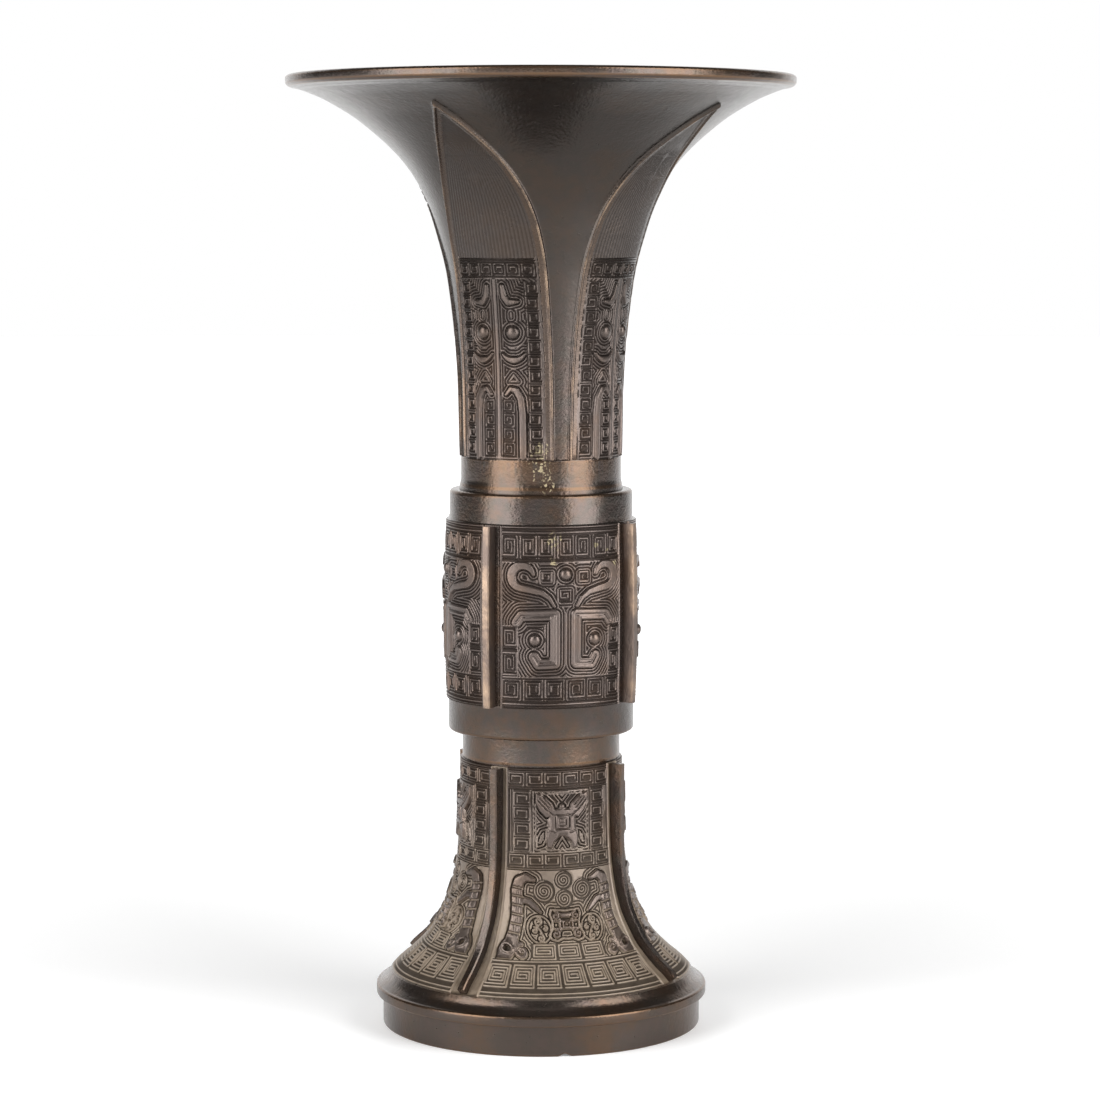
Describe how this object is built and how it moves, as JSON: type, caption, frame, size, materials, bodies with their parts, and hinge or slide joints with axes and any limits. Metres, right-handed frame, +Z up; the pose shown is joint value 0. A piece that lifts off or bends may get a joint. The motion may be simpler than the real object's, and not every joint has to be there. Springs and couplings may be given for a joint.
{
  "type": "bronze gu vase",
  "caption": "Tall bronze gu vase with a wide trumpet mouth, a banded knop with upright flanges and a flared foot, cast with leaf blades, animal masks and dragons.",
  "frame": {"origin": "centre of the foot ring's underside, where the vase stands", "axes": "+Z up along the vase's axis towards the mouth; the relief panels of the knop and foot face -Y, +Y, -X and +X, and the flanges stand on the diagonals"},
  "size_m": [0.1596, 0.1596, 0.3],
  "materials": {
    "patinated_bronze": "dark brown patina, satin, worn to a golden brown on edges"
  },
  "bodies": {
    "root": {"gu_vase": "patinated_bronze"}
  },
  "joints": []
}
